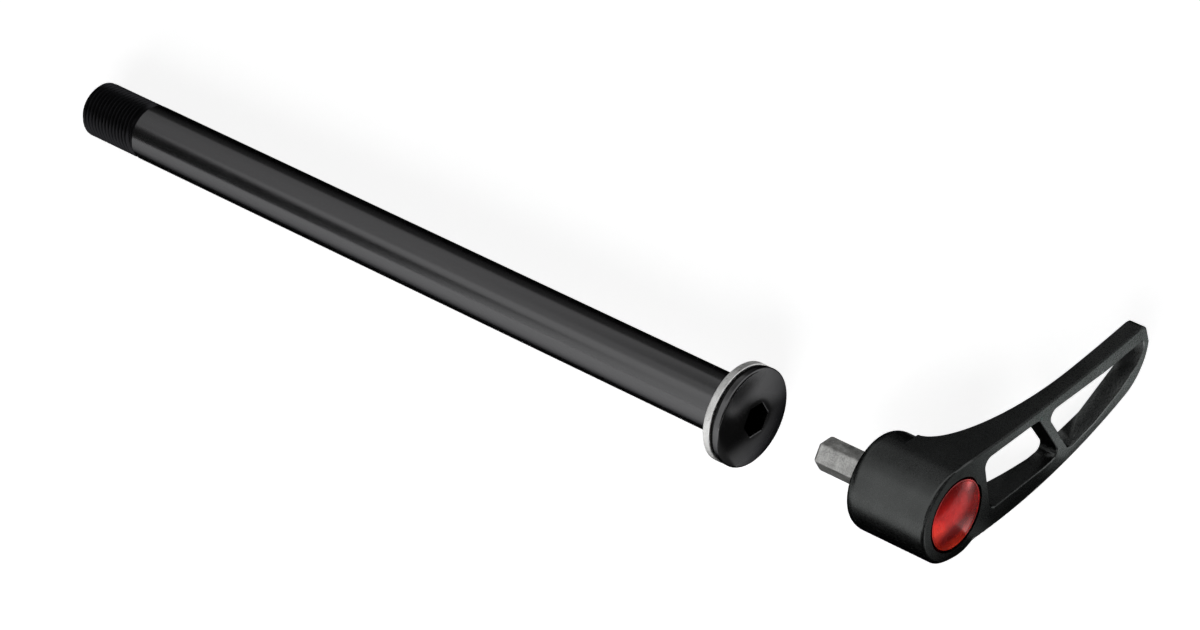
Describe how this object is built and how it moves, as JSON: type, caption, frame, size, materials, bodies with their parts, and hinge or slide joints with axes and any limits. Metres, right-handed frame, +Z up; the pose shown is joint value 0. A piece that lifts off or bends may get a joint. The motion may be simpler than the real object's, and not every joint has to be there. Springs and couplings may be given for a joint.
{
  "type": "bicycle thru axle",
  "caption": "Hollow bicycle thru axle with threaded end, flanged hex-socket head and washer, and a plug-in ratchet lever with a windowed arm, shown pulled out.",
  "frame": {"origin": "on the axle's centre line, in the plane of the washer's face that seats on the frame", "axes": "+Y along the centre line from the head to the thread, +X from the centre line towards the arm's tip, +Z up"},
  "size_m": [0.0692, 0.2281, 0.0222],
  "materials": {
    "shaft_alloy": "satin anodised",
    "washer_alloy": "blasted",
    "slip_plastic": "matt",
    "lever_alloy": "satin anodised",
    "ring_steel": "hardened, oiled",
    "hex_steel": "satin",
    "spring_steel": "drawn wire",
    "screw_steel": "black oxide",
    "cap_red": "glossy"
  },
  "bodies": {
    "axle": {"axle_shaft": "shaft_alloy", "slip_washer": "slip_plastic"},
    "washer": {"seat_washer": "washer_alloy"},
    "drive": {"hex_drive": "hex_steel", "retaining_screw": "screw_steel"},
    "thrust": {"thrust_washer": "ring_steel", "spring": "spring_steel"},
    "lever": {"lever_body": "lever_alloy", "ratchet_ring": "ring_steel", "cap": "cap_red"}
  },
  "joints": [
    {"name": "washer_turn", "type": "hinge", "parent": "axle", "child": "washer", "pos_m": [0, 0, 0], "axis": [0, 1, 0], "continuous": true},
    {"name": "lever_plug", "type": "slide", "parent": "axle", "child": "drive", "axis": [0, 1, 0], "range_m": [0, 0.0285]},
    {"name": "lever_lift", "type": "slide", "parent": "drive", "child": "thrust", "axis": [0, -1, 0], "range_m": [0, 0.0036], "stiffness_N_per_m": 800, "springref_m": -0.006, "deforming": ["spring"]},
    {"name": "lever_index", "type": "hinge", "parent": "thrust", "child": "lever", "pos_m": [0, 0, 0], "axis": [0, 1, 0], "continuous": true}
  ]
}
